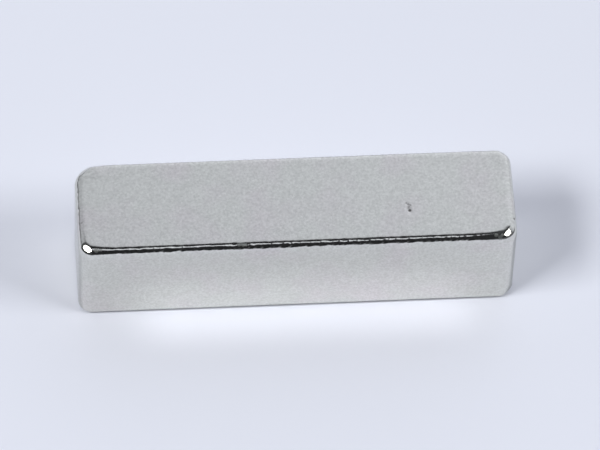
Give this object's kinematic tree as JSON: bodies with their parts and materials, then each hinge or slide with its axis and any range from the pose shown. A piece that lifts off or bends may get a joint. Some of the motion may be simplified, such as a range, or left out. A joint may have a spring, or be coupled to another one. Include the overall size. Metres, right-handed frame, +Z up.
{
  "type": "bar magnet",
  "caption": "Nickel-plated bar magnet: a square-section block with well-rounded upright corners and narrow tumbled rims, lying on a long side.",
  "frame": {"origin": "middle of the underside, the long face that the magnet lies on", "axes": "+X along the bar, -Y its front, the long side that faces the camera in the picture, +Z up"},
  "size_m": [0.04, 0.01, 0.01],
  "materials": {
    "nickel_plate": "bright nickel plate, lightly hazed and scuffed"
  },
  "bodies": {
    "root": {"bar_magnet": "nickel_plate"}
  },
  "joints": []
}
